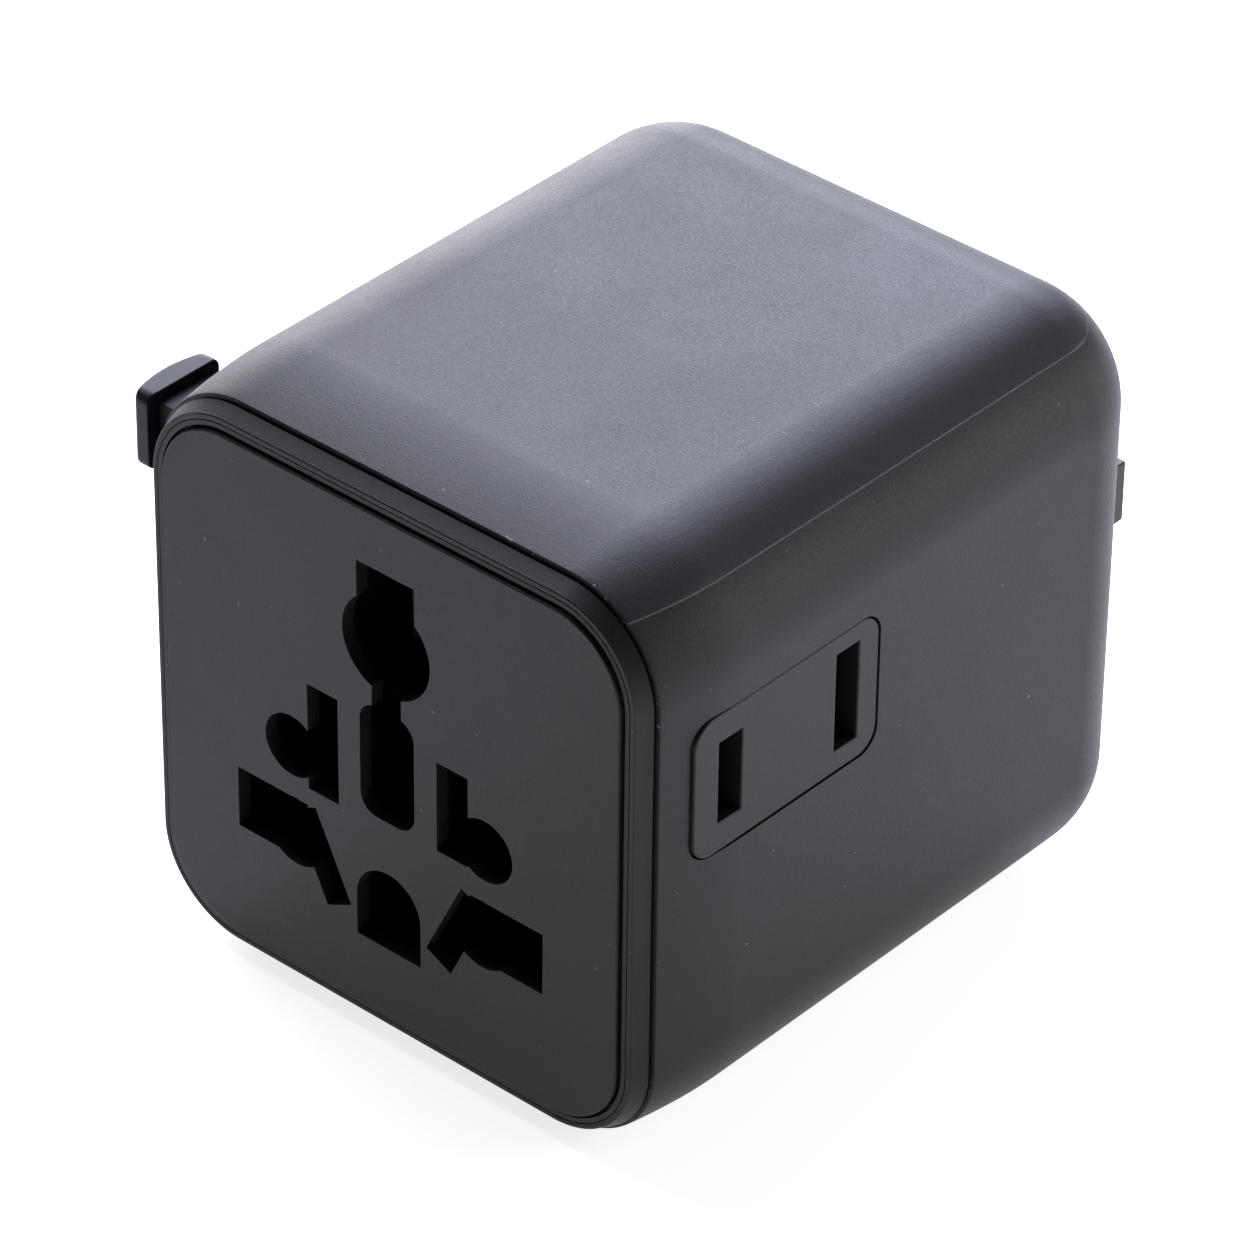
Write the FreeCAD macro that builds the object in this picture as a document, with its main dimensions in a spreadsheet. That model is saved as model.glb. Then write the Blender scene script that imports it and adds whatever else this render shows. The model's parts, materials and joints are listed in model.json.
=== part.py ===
import FreeCAD, Part
import os
import re
import Sketcher

# Universal travel adapter, millimetres.
# X runs to the right seen from the socket face, Y runs from the socket face to the pins, Z is up.
# The origin is the middle of the flat bottom face that the adapter rests on.
# Inside this file a place is given as (x, depth, height): depth is measured back from the socket
# face, and height up from the middle of the body; both are turned into Y and Z in one place.
# Names that end in wide, tall or half are half sizes, measured from a middle line.

DIMENSIONS = [
    # outer body, and how far a cutting shape runs past what it cuts
    ("body_half", 24.9), ("body_corner", 9.3), ("body_long", 57.5), ("rear_round", 8.0),
    ("wall", 1.7), ("rear_wall", 2.2), ("shell_front", 1.95), ("ease_in", 0.7),
    ("parting", 22.2), ("past", 1.0),
    # front frame
    ("frame_half", 23.8), ("frame_corner", 8.0), ("frame_front", 0.3), ("frame_back", 1.75),
    ("frame_edge", 0.6), ("mouth_half", 22.8), ("mouth_corner", 7.0), ("skirt_half", 23.1),
    ("skirt_corner", 7.5), ("skirt_inner", 21.6), ("throat_corner", 5.9), ("skirt_end", 4.0),
    ("step_depth", 2.3),
    # rear cover
    ("cover_half", 16.6), ("cover_corner", 3.0), ("cover_gap", 0.1), ("pin_gap", 0.2),
    # socket plate and contact carrier
    ("plate_half", 22.1), ("plate_corner", 6.3), ("plate_thick", 1.2), ("plate_edge", 0.15),
    ("rim_half", 22.75), ("rim_corner", 6.95), ("recess_half", 22.35), ("recess_corner", 6.55),
    ("block_half", 16.6), ("block_tall", 20.5), ("block_end", 14.5), ("well_grow", 0.15),
    ("pocket_gap", 0.35),
    # socket openings
    ("blade_pitch", 6.35), ("blade_mid", -0.42), ("slot_wide", 1.51), ("neutral_tall", 4.68),
    ("live_tall", 3.92), ("round_pitch", 9.5), ("round_mid", -2.05), ("round_bore", 2.65),
    ("uk_out", 15.07), ("uk_in", 8.0), ("uk_top", -6.7), ("uk_low", -12.05),
    ("bulge_pitch", 9.2), ("bulge_mid", -9.65), ("bulge_bore", 3.0),
    ("slant_pitch", 6.67), ("slant_mid", -10.72), ("slant_tilt", 26), ("slant_wide", 1.33),
    ("slant_long", 3.97), ("earth_wide", 2.8), ("earth_top", 17.5), ("eye_mid", 11.2),
    ("eye_bore", 4.25), ("waist_wide", 1.42), ("tongue_wide", 2.65), ("tongue_top", 5.5),
    ("tongue_low", -4.3), ("tongue_corner", 1.6), ("dome_wide", 3.15), ("dome_mid", -12.15),
    ("dome_low", -15.9),
    # chassis, guide rods and screws
    ("chassis_thick", 1.5), ("rod_radius", 1.0), ("rod_gap", 0.15), ("screw_long", 6.0),
    ("screw_shank", 0.85), ("pilot_bore", 0.9), ("screw_bore", 1.1), ("head_radius", 1.8),
    ("head_thick", 1.2), ("drive_long", 1.1), ("drive_wide", 0.2), ("upper_screw", 15.6),
    ("upper_screw_out", 13.5), ("lower_screw", -16.2), ("lower_screw_out", 12.5),
    # contacts and buses
    ("leaf", 0.4), ("leaf_front", 5.6), ("spine_front", 13.5), ("spine_back", 14.2),
    ("back_in", 5.0), ("back_out", 15.0), ("back_low", -12.15), ("back_top", 2.8),
    ("blade_leaf_out", 1.35), ("blade_leaf_low", -3.6), ("neutral_leaf_top", 2.8),
    ("line_leaf_top", 2.2), ("round_leaf_out", 2.1), ("round_leaf_tall", 0.9),
    ("uk_leaf_in", 8.6), ("uk_leaf_out", 14.5), ("uk_leaf_gap", 0.3),
    ("earth_back_wide", 2.9), ("earth_leaf_out", 2.2), ("earth_leaf_low", 8.0),
    ("earth_leaf_top", 15.0), ("tongue_leaf_out", 1.9), ("tongue_leaf_low", -2.0),
    ("tongue_leaf_top", 3.0), ("dome_leaf_low", -14.8), ("dome_leaf_top", -11.5),
    ("bus_in", 13.5), ("bus_thick", 0.8), ("bus_low", -3.6), ("bus_top", 0.2), ("bus_end", 50.0),
    ("earth_bus_wide", 2.5), ("earth_bus_low", 16.0), ("bus_gap", 0.2),
    # side outlet
    ("insert_mid", 14.87), ("insert_level", 7.45), ("insert_long", 10.0), ("insert_tall", 5.95),
    ("insert_corner", 2.0), ("insert_gap", 0.12), ("insert_thick", 2.0), ("insert_sunk", 0.05),
    ("side_pair", 15.1), ("side_slot", 1.23), ("side_live", 3.5), ("side_neutral", 4.24),
    ("side_neutral_mid", 7.55), ("boss_gap", 0.6), ("boss_wide", 2.2), ("boss_tall", 5.0),
    ("side_well_wide", 1.45), ("holder_in", 9.0), ("holder_floor", 0.8), ("holder_front", 16.4),
    ("holder_back", 26.4), ("holder_low", 1.8), ("holder_top", 13.1), ("side_back_in", 10.0),
    ("side_back_thick", 0.5), ("side_leaf_out", 1.2), ("side_leaf_thick", 0.35),
    ("side_leaf_low", 4.8), ("side_leaf_top", 10.4), ("side_line_end", 16.4),
    ("side_neutral_end", 20.5),
    # selector knob, pusher and lanes
    ("reach", 18.2), ("lane_top", 14.95), ("lane_step", 11.1), ("lane_depth", 7.85),
    ("cap_out", 29.6), ("cap_thick", 2.1), ("cap_long", 3.8), ("cap_tall", 3.25),
    ("cap_corner", 0.8), ("crown_round", 10.0), ("neck_gap", 0.4), ("neck_long", 2.6),
    ("neck_tall", 2.3), ("stem_long", 1.5), ("stem_tall", 1.4), ("slack", 0.3), ("finger", 1.2),
    ("finger_start", 19.6), ("finger_end", 18.0), ("pusher_out", 22.4), ("pusher_in", 19.7),
    ("pusher_long", 3.5), ("pusher_low", 4.4), ("pusher_top", 17.8), ("spring_out", 21.95),
    ("spring_thick", 0.35), ("spring_long", 2.5), ("spring_low", 3.7), ("spring_top", 2.3),
    ("bead_radius", 0.9), ("nest_in", 20.9), ("nest_gap", 0.2), ("arm_out", 17.85),
    ("arm_in", 16.9), ("arm_front", 2.6), ("arm_tall", 1.4), ("prong_out", 19.3),
    ("prong_gap", 0.2),
    # plug with three rectangular pins
    ("uk_pitch", 11.1), ("uk_level", -11.2), ("uk_earth", 11.0), ("uk_base", 37.0),
    ("uk_thick", 6.0), ("earth_base", 32.0), ("tip_depth", 57.0), ("uk_pin_wide", 3.15),
    ("uk_pin_tall", 2.0), ("core_wide", 2.9), ("core_tall", 1.75), ("earth_pin_wide", 2.0),
    ("earth_pin_tall", 4.0), ("earth_core_tall", 3.75), ("seat_deep", 3.0), ("sleeve_long", 10.5),
    ("uk_bar_left", 14.9), ("uk_bar_right", 16.5), ("uk_bar_tall", 2.4), ("upper_front", 5.0),
    ("upper_back", 1.0), ("upper_low", 9.5), ("upper_top", 13.5), ("earth_boss_wide", 3.2),
    ("earth_boss_tall", 4.4), ("foot_in", 14.5),
    # plug with two round pins
    ("eu_pitch", 9.5), ("eu_level", 3.6), ("eu_base", 35.7), ("eu_thick", 5.0), ("eu_core", 1.5),
    ("eu_sleeve", 1.9), ("eu_tip", 2.0), ("eu_sleeve_long", 12.0), ("eu_seat", 3.5),
    ("eu_bar_wide", 13.2), ("eu_bar_tall", 2.9),
    # plug with two turning blades
    ("us_pitch", 6.35), ("us_level", -4.0), ("us_base", 37.0), ("us_thick", 5.0),
    ("us_tip", 55.2), ("blade_wide", 0.75), ("blade_tall", 3.15), ("root_disc", 3.4),
    ("disc_gap", 0.15), ("disc_seat", 2.7), ("disc_front", 2.5), ("disc_back", 0.1),
    ("us_bar_wide", 10.5), ("us_bar_tall", 3.9),
    # fuse drawer
    ("drawer_in", 16.9), ("drawer_out", 22.9), ("drawer_low", 1.9), ("drawer_top", 7.9),
    ("drawer_front", 32.5), ("drawer_gap", 0.15), ("tray_wall", 0.4), ("tray_floor", 0.35),
    ("pocket_front", 0.8), ("pocket_long", 20.4), ("tab_in", 18.9), ("tab_out", 20.9),
    ("tab_low", 2.25), ("tab_top", 7.55), ("tab_root", 3.0), ("tab_back", 58.65),
    ("fuse_bore", 2.55), ("fuse_long", 20.0), ("fuse_cap_long", 5.0), ("fuse_step", 0.2),
    ("clip_side", 0.5), ("clip_front", 1.4), ("clip_back", 0.9), ("clip_reach", 16.0),
    ("clip_lift", 0.35),
]

doc = FreeCAD.newDocument("travel_adapter")
sheet = doc.addObject("Spreadsheet::Sheet", "dims")
for row, (alias, number) in enumerate(DIMENSIONS, start=1):
    sheet.set("A%d" % row, alias)
    sheet.set("B%d" % row, str(number))
    sheet.setAlias("B%d" % row, alias)
doc.recompute()

ALIASES = {alias for alias, number in DIMENSIONS}
START_HALF = 9  # half the square that a sketch is first drawn with, before its sizes are bound
FLAT = 1e-4  # how level an edge lies


def cell(text):
    """Write a size as an expression on the sheet: every alias in it becomes a cell."""
    return re.sub(r"[a-z_]+", lambda word: "dims." + word[0] if word[0] in ALIASES else word[0], str(text))


def bind(thing, **sizes):
    for prop, text in sizes.items():
        thing.setExpression(prop, cell(text))
    return thing


def place(thing, x="0", depth="0", height="0"):
    """Put a shape's own origin at (x, depth, height)."""
    thing.setExpression("Placement.Base.x", cell(x))
    thing.setExpression("Placement.Base.y", cell("(%s) - body_long / 2" % depth))
    thing.setExpression("Placement.Base.z", cell("(%s) + body_half" % height))
    return thing


def label(thing, name):
    thing.Label = name
    return thing


def box(x, depth, height, name="box"):
    """A block between two x, two depths and two heights."""
    block = doc.addObject("Part::Box", name)
    bind(block, Length="(%s) - (%s)" % (x[1], x[0]), Width="(%s) - (%s)" % (depth[1], depth[0]),
         Height="(%s) - (%s)" % (height[1], height[0]))
    return place(block, x[0], depth[0], height[0])


def rod(x, height, depth, radius, name="rod"):
    """A round bar that runs back along Y."""
    bar = doc.addObject("Part::Cylinder", name)
    bar.Placement.Rotation = FreeCAD.Rotation(FreeCAD.Vector(1, 0, 0), -90)
    bind(bar, Radius=radius, Height="(%s) - (%s)" % (depth[1], depth[0]))
    return place(bar, x, depth[0], height)


def fuse(shapes, name="joined"):
    joined = doc.addObject("Part::MultiFuse", name)
    joined.Shapes = shapes
    joined.Refine = True
    return joined


def cut(base, tools, name="cut"):
    """The base with each tool taken out."""
    piece = doc.addObject("Part::Cut", name)
    piece.Base = base
    piece.Tool = tools[0] if len(tools) == 1 else fuse(tools, name + "_tools")
    return piece


def common(first, second, name="common"):
    shared = doc.addObject("Part::Common", name)
    shared.Base = first
    shared.Tool = second
    return shared


def centred_rectangle(body, plane, half_u, half_v):
    """A rectangle about the sketch origin, its two sizes bound to the sheet."""
    sketch = body.newObject("Sketcher::SketchObject", body.Name + "_outline")
    origin_plane = [p for p in body.Origin.OriginFeatures if p.Role == plane][0]
    sketch.AttachmentSupport = (origin_plane, "")
    sketch.MapMode = "FlatFace"
    corners = [FreeCAD.Vector(u * START_HALF, v * START_HALF, 0)
               for u, v in ((-1, -1), (1, -1), (1, 1), (-1, 1))]
    constraint = Sketcher.Constraint
    for number, corner in enumerate(corners):
        sketch.addGeometry(Part.LineSegment(corner, corners[(number + 1) % 4]), False)
    for number in range(4):
        sketch.addConstraint(constraint("Coincident", number, 2, (number + 1) % 4, 1))
        sketch.addConstraint(constraint("Vertical" if number % 2 else "Horizontal", number))
    sketch.addConstraint(constraint("Symmetric", 0, 1, 2, 1, -1, 1))
    for title, kind, line, half in (("wide", "DistanceX", 0, half_u), ("tall", "DistanceY", 1, half_v)):
        index = sketch.addConstraint(constraint(kind, line, 1, line, 2, 2 * START_HALF))
        sketch.renameConstraint(index, title)
        sketch.setExpression("Constraints." + title, cell("2 * (%s)" % half))
    return sketch


def round_corners(body, across, corner):
    """Round the four edges that run through a padded rectangle."""
    base = body.Tip
    names = []
    for number, edge in enumerate(base.Shape.Edges, start=1):
        size = edge.BoundBox
        if max(getattr(size, axis + "Length") for axis in across) < FLAT:
            names.append("Edge%d" % number)
    fillet = body.newObject("PartDesign::Fillet", body.Name + "_corners")
    fillet.Base = (base, names)
    bind(fillet, Radius=corner)
    body.Tip = fillet
    doc.recompute()
    return body


def slab(half_u, half_v, corner, depth, name="slab", x="0", height="0"):
    """A round-cornered plate that faces the front: depth runs back along Y."""
    body = doc.addObject("PartDesign::Body", name)
    pad = body.newObject("PartDesign::Pad", name + "_pad")
    pad.Profile = centred_rectangle(body, "XZ_Plane", half_u, half_v)
    pad.Reversed = True
    bind(pad, Length="(%s) - (%s)" % (depth[1], depth[0]))
    place(body, x, depth[0], height)
    doc.recompute()
    return round_corners(body, "XZ", corner)


def side_slab(half_u, half_v, corner, x, name, depth, height):
    """A round-cornered plate that faces the right side: its thickness runs along X."""
    body = doc.addObject("PartDesign::Body", name)
    pad = body.newObject("PartDesign::Pad", name + "_pad")
    pad.Profile = centred_rectangle(body, "YZ_Plane", half_u, half_v)
    bind(pad, Length="(%s) - (%s)" % (x[1], x[0]))
    place(body, x[0], depth, height)
    doc.recompute()
    return round_corners(body, "YZ", corner)


def edges_at(shape, axis, value):
    """Names of the edges that lie in one plane of the body's own frame."""
    names = []
    for number, edge in enumerate(shape.Edges, start=1):
        low = getattr(edge.BoundBox, axis + "Min")
        high = getattr(edge.BoundBox, axis + "Max")
        if abs(low - value) < FLAT and abs(high - value) < FLAT:
            names.append("Edge%d" % number)
    return names


def round_edges(body, axis, value, radius):
    """Round every edge of a body's pad that lies in the plane axis = value."""
    base = body.Tip
    fillet = body.newObject("PartDesign::Fillet", body.Name + "_round")
    fillet.Base = (base, edges_at(base.Shape, axis, value))
    bind(fillet, Radius=radius)
    body.Tip = fillet
    doc.recompute()
    return body


def mirrored(text):
    """The same x on the other side."""
    return "-(%s)" % text


def span(side, inner, outer):
    """Two x in rising order, on the left (-1) or the right (+1)."""
    return (inner, outer) if side > 0 else (mirrored(outer), mirrored(inner))


# ---------------------------------------------------------------- outer body


def shell_block(name, half, corner, depth, rear):
    """The body's outline pushed back along Y, with its rear edges rounded."""
    body = slab(half, half, corner, depth, name)
    return round_edges(body, "Y", body.Tip.Shape.BoundBox.YMax, rear)


def lane_level(lane):
    """Height of a lane: 0 is the top one, where the knob rests."""
    return "(lane_top - %d * lane_step)" % lane


def gate_shapes():
    """The knob's three lanes through the left wall, and the slot that joins them."""
    wall_x = ("-body_half - past", "-body_half + wall + past")
    front = "lane_depth - stem_long - slack"
    shapes = [box(wall_x, (front, "lane_depth + stem_long + slack"),
                  (lane_level(2) + " - stem_tall - slack", lane_level(0) + " + stem_tall + slack"),
                  "gate_cross")]
    for lane in range(3):
        level = lane_level(lane)
        shapes.append(box(wall_x, (front, "lane_depth + reach + stem_long + slack"),
                          (level + " - stem_tall - slack", level + " + stem_tall + slack"), "gate_lane"))
    return shapes


def build_shells():
    outer = shell_block("outer_form", "body_half", "body_corner", ("shell_front", "body_long"), "rear_round")
    round_edges(outer, "Y", 0.0, "ease_in")
    inner = shell_block("inner_form", "body_half - wall", "body_corner - wall",
                        ("shell_front - past", "body_long - rear_wall"), "rear_round - wall")
    cover_hole = slab("cover_half + cover_gap", "cover_half + cover_gap", "cover_corner + cover_gap",
                      ("body_long - rear_wall - past", "body_long + past"), "cover_hole")
    window = side_slab("insert_long + insert_gap", "insert_tall + insert_gap", "insert_corner",
                       ("body_half - wall - past", "body_half + past"), "side_window",
                       "insert_mid", "insert_level")
    drawer_hole = box(("drawer_in - drawer_gap", "drawer_out + drawer_gap"),
                      ("body_long - rear_round - past", "body_long + past"),
                      ("drawer_low - drawer_gap", "drawer_top + drawer_gap"), "drawer_hole")
    hollow = cut(outer, [inner, cover_hole, window, drawer_hole] + gate_shapes(), "hollow_body")
    far = "(2 * body_half)"
    below = box(("-" + far, far), ("0", "2 * body_long"), ("-" + far, "parting"), "below_parting")
    above = box(("-" + far, far), ("0", "2 * body_long"), ("parting", far), "above_parting")
    return [label(common(hollow, below), "main_shell"), label(common(hollow, above), "top_shell")]


def build_front_frame():
    lip = slab("frame_half", "frame_half", "frame_corner", ("frame_front", "frame_back"), "frame_lip")
    round_edges(lip, "Y", 0.0, "frame_edge")
    skirt = slab("skirt_half", "skirt_half", "skirt_corner", ("frame_back", "skirt_end"), "frame_skirt")
    mouth = slab("mouth_half", "mouth_half", "mouth_corner", ("0", "step_depth"), "frame_mouth")
    throat = slab("skirt_inner", "skirt_inner", "throat_corner", ("step_depth - past", "skirt_end + past"),
                  "frame_throat")
    return label(cut(fuse([lip, skirt]), [mouth, throat]), "front_frame")


def build_rear_cover():
    plate = slab("cover_half", "cover_half", "cover_corner", ("body_long - rear_wall", "body_long"),
                 "rear_plate")
    through = ("body_long - rear_wall - past", "body_long + past")
    openings = [box(("-earth_pin_wide - pin_gap", "earth_pin_wide + pin_gap"), through,
                    ("uk_earth - earth_pin_tall - pin_gap", "uk_earth + earth_pin_tall + pin_gap"),
                    "earth_opening")]
    for side in (-1, 1):
        openings.append(box(span(side, "uk_pitch - uk_pin_wide - pin_gap",
                                 "uk_pitch + uk_pin_wide + pin_gap"),
                            through,
                            ("uk_level - uk_pin_tall - pin_gap", "uk_level + uk_pin_tall + pin_gap"),
                            "uk_opening"))
        openings.append(rod("%d * eu_pitch" % side, "eu_level", through, "eu_tip + pin_gap", "eu_opening"))
        openings.append(rod("%d * us_pitch" % side, "us_level", through, "root_disc + pin_gap", "us_opening"))
    return label(cut(plate, openings), "rear_cover")


# ---------------------------------------------------------------- socket face


def slant_slot(side, depth, more, name):
    """A slot that leans outwards by slant_tilt, turned about its own middle."""
    slot = doc.addObject("Part::Box", name)
    half_w = "(slant_wide%s)" % more
    half_l = "(slant_long%s)" % more
    bind(slot, Length="2 * " + half_w, Width="(%s) - (%s)" % (depth[1], depth[0]), Height="2 * " + half_l)
    slot.Placement.Rotation = FreeCAD.Rotation(FreeCAD.Vector(0, 1, 0), 0)
    slot.setExpression("Placement.Rotation.Angle", cell("%d * slant_tilt" % side))
    across = "%s * cos(slant_tilt) + %d * %s * sin(slant_tilt)" % (half_w, side, half_l)
    down = "%s * cos(slant_tilt) - %d * %s * sin(slant_tilt)" % (half_l, side, half_w)
    return place(slot, "%d * slant_pitch - (%s)" % (side, across), depth[0], "slant_mid - (%s)" % down)


def socket_openings(depth, grow, tag):
    """The front face's openings, each one wider by grow all round."""
    shapes = []
    more = " + " + grow
    less = " - " + grow
    for side, tall in ((-1, "neutral_tall"), (1, "live_tall")):
        shapes.append(box(span(side, "blade_pitch - slot_wide" + less,
                               "blade_pitch + slot_wide" + more), depth,
                          ("blade_mid - " + tall + less, "blade_mid + " + tall + more), tag + "_blade"))
        shapes.append(rod("%d * round_pitch" % side, "round_mid", depth, "round_bore" + more, tag + "_round"))
        shapes.append(box(span(side, "uk_in" + less, "uk_out" + more), depth,
                          ("uk_low" + less, "uk_top" + more), tag + "_uk"))
        shapes.append(rod("%d * bulge_pitch" % side, "bulge_mid", depth, "bulge_bore" + more, tag + "_bulge"))
        shapes.append(slant_slot(side, depth, more, tag + "_slant"))
    shapes.append(box(("-earth_wide" + less, "earth_wide" + more), depth, ("eye_mid", "earth_top" + more),
                      tag + "_earth"))
    shapes.append(rod("0", "eye_mid", depth, "eye_bore" + more, tag + "_eye"))
    shapes.append(box(("-waist_wide" + less, "waist_wide" + more), depth, ("tongue_top / 2", "eye_mid"),
                      tag + "_waist"))
    shapes.append(slab("tongue_wide" + more, "(tongue_top - tongue_low) / 2" + more, "tongue_corner", depth,
                       tag + "_tongue", height="(tongue_top + tongue_low) / 2"))
    shapes.append(rod("0", "dome_mid", depth, "dome_wide", tag + "_dome"))
    shapes.append(box(("-dome_wide", "dome_wide"), depth, ("dome_low", "dome_mid"), tag + "_dome_foot"))
    return shapes


def build_socket_plate():
    plate = slab("plate_half", "plate_half", "plate_corner", ("0", "plate_thick"), "face_plate")
    round_edges(plate, "Y", 0.0, "plate_edge")
    return label(cut(plate, socket_openings(("-past", "plate_thick + past"), "0", "face")), "socket_plate")


SCREW_PLACES = [("%d * %s_screw_out" % (side, row), row + "_screw") for row in ("upper", "lower")
                for side in (-1, 1)]
ROD_LEVELS = ["eu_level", "us_level", "uk_level"]


def build_contact_carrier():
    rim = slab("rim_half", "rim_half", "rim_corner", ("frame_front", "step_depth"), "carrier_rim")
    block = box(("-block_half", "block_half"), ("step_depth", "block_end"), ("-block_tall", "block_tall"),
                "carrier_block")
    rear = ("spine_front - well_grow", "block_end + past")
    near = "(side_pair - blade_pitch)"
    tools = [slab("recess_half", "recess_half", "recess_corner", ("0", "plate_thick"), "plate_recess"),
             box(("-earth_back_wide - pocket_gap", "earth_back_wide + pocket_gap"), rear,
                 ("dome_low", "earth_top"), "earth_pocket"),
             box(("holder_in", "block_half + past"), (near + " - side_well_wide", near + " + side_well_wide"),
                 ("insert_level - side_live - well_grow", "insert_level + side_live + well_grow"),
                 "side_well")]
    tools += socket_openings(("0", "block_end + past"), "well_grow", "well")
    for side in (-1, 1):
        tools.append(box(span(side, "back_in - pocket_gap", "back_out + pocket_gap"), rear,
                         ("back_low - pocket_gap", "back_top + pocket_gap"), "spine_pocket"))
    for x, height in SCREW_PLACES:
        tools.append(rod(x, height, ("block_end - screw_long - slack", "block_end + past"), "pilot_bore",
                         "pilot_hole"))
    return label(cut(fuse([rim, block]), tools), "contact_carrier")


def build_chassis():
    plate = box(("-block_half", "block_half"), ("block_end", "block_end + chassis_thick"),
                ("-block_tall", "block_tall"), "chassis_plate")
    through = ("block_end - past", "block_end + chassis_thick + past")
    tools = [box(("-earth_bus_wide - bus_gap", "earth_bus_wide + bus_gap"), through,
                 ("earth_bus_low - bus_gap", "earth_bus_low + bus_thick + bus_gap"), "earth_bus_slot")]
    for side in (-1, 1):
        tools.append(box(span(side, "bus_in - bus_gap", "bus_in + bus_thick + bus_gap"), through,
                         ("bus_low - bus_gap", "bus_top + bus_gap"), "bus_slot"))
    for x, height in SCREW_PLACES:
        tools.append(rod(x, height, through, "screw_bore", "screw_hole"))
    for level in ROD_LEVELS:
        tools.append(rod("0", level, through, "rod_radius", "rod_hole"))
    return label(cut(plate, tools), "chassis")


def group(shapes, name):
    """Separate solids of one kind that share a node."""
    several = doc.addObject("Part::Compound", name + "_group")
    several.Links = shapes
    return label(several, name)


def build_guide_rods():
    ends = ("block_end", "body_long - rear_wall")
    return group([rod("0", level, ends, "rod_radius", "guide_rod") for level in ROD_LEVELS], "guide_rods")


def build_chassis_screws():
    screws = []
    rear = "block_end + chassis_thick"
    drive_depth = (rear + " + head_thick / 2", rear + " + head_thick + past")
    for x, height in SCREW_PLACES:
        shank = rod(x, height, ("block_end - screw_long", rear), "screw_shank", "shank")
        head = rod(x, height, (rear, rear + " + head_thick"), "head_radius", "screw_head")
        drive = [box((x + " - " + half_x, x + " + " + half_x), drive_depth,
                     (height + " - " + half_z, height + " + " + half_z), "drive_slot")
                 for half_x, half_z in (("drive_long", "drive_wide"), ("drive_wide", "drive_long"))]
        screws.append(cut(fuse([shank, head]), drive, "screw"))
    return group(screws, "chassis_screws")


# ---------------------------------------------------------------- contacts and buses


def build_pin_contact(side, name, blade_top):
    """Sprung leaves for a flat blade, a round pin and a wide flat pin on one back plate."""
    run = ("leaf_front", "spine_front")
    shapes = [box(span(side, "back_in", "back_out"), ("spine_front", "spine_back"), ("back_low", "back_top"),
                  "contact_back")]
    for inner in ("blade_pitch - blade_leaf_out", "blade_pitch + blade_leaf_out - leaf"):
        shapes.append(box(span(side, inner, inner + " + leaf"), run, ("blade_leaf_low", blade_top),
                          "blade_leaf"))
    shapes.append(box(span(side, "round_pitch + round_leaf_out", "round_pitch + round_leaf_out + leaf"), run,
                      ("round_mid - round_leaf_tall", "round_mid + round_leaf_tall"), "round_leaf"))
    for low in ("uk_top - uk_leaf_gap - leaf", "uk_low + uk_leaf_gap"):
        shapes.append(box(span(side, "uk_leaf_in", "uk_leaf_out"), run, (low, low + " + leaf"), "uk_leaf"))
    return label(fuse(shapes), name)


def build_earth_contact():
    run = ("leaf_front", "spine_front")
    shapes = [box(("-earth_back_wide", "earth_back_wide"), ("spine_front", "spine_back"),
                  ("dome_low + pocket_gap", "earth_top - pocket_gap"), "earth_back")]
    for side in (-1, 1):
        for title in ("earth_leaf", "tongue_leaf", "dome_leaf"):
            inner = "earth_leaf_out" if title == "dome_leaf" else title + "_out"
            shapes.append(box(span(side, inner, inner + " + leaf"), run, (title + "_low", title + "_top"),
                              title))
    return label(fuse(shapes), "earth_contact")


def build_buses():
    run = ("spine_back", "bus_end")
    level = ("bus_low", "bus_top")
    return [label(box(span(1, "bus_in", "bus_in + bus_thick"), run, level), "line_bus"),
            label(box(span(-1, "bus_in", "bus_in + bus_thick"), run, level), "neutral_bus"),
            label(box(("-earth_bus_wide", "earth_bus_wide"), run,
                      ("earth_bus_low", "earth_bus_low + bus_thick")), "earth_bus")]


# ---------------------------------------------------------------- side outlet


def build_side_outlet():
    near = "(side_pair - blade_pitch)"
    far = "(side_pair + blade_pitch)"
    face_x = ("body_half - insert_sunk - insert_thick", "body_half - insert_sunk")
    face = side_slab("insert_long", "insert_tall", "insert_corner", face_x, "outlet_face",
                     "insert_mid", "insert_level")
    boss = box(("block_half + boss_gap", face_x[0]), (near + " - boss_wide", near + " + boss_wide"),
               ("insert_level - boss_tall", "insert_level + boss_tall"), "outlet_boss")
    through = ("block_half - past", "body_half + past")
    tools = [box(through, (near + " - side_slot", near + " + side_slot"),
                 ("insert_level - side_live", "insert_level + side_live"), "live_slot"),
             box(through, (far + " - side_slot", far + " + side_slot"),
                 ("side_neutral_mid - side_neutral", "side_neutral_mid + side_neutral"), "neutral_slot")]
    insert = label(cut(fuse([face, boss]), tools), "side_outlet_insert")
    holder = box(("holder_in", face_x[0]), ("holder_front", "holder_back"), ("holder_low", "holder_top"),
                 "holder_block")
    well = box(("holder_in + holder_floor", "body_half"),
               (far + " - side_well_wide", far + " + side_well_wide"),
               ("side_neutral_mid - side_neutral - well_grow", "side_neutral_mid + side_neutral + well_grow"),
               "holder_well")
    holder = label(cut(holder, [well]), "side_contact_holder")
    return [insert, holder, build_side_contact(near, "side_line_end", "side_line_contact"),
            build_side_contact(far, "side_neutral_end", "side_neutral_contact")]


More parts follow.
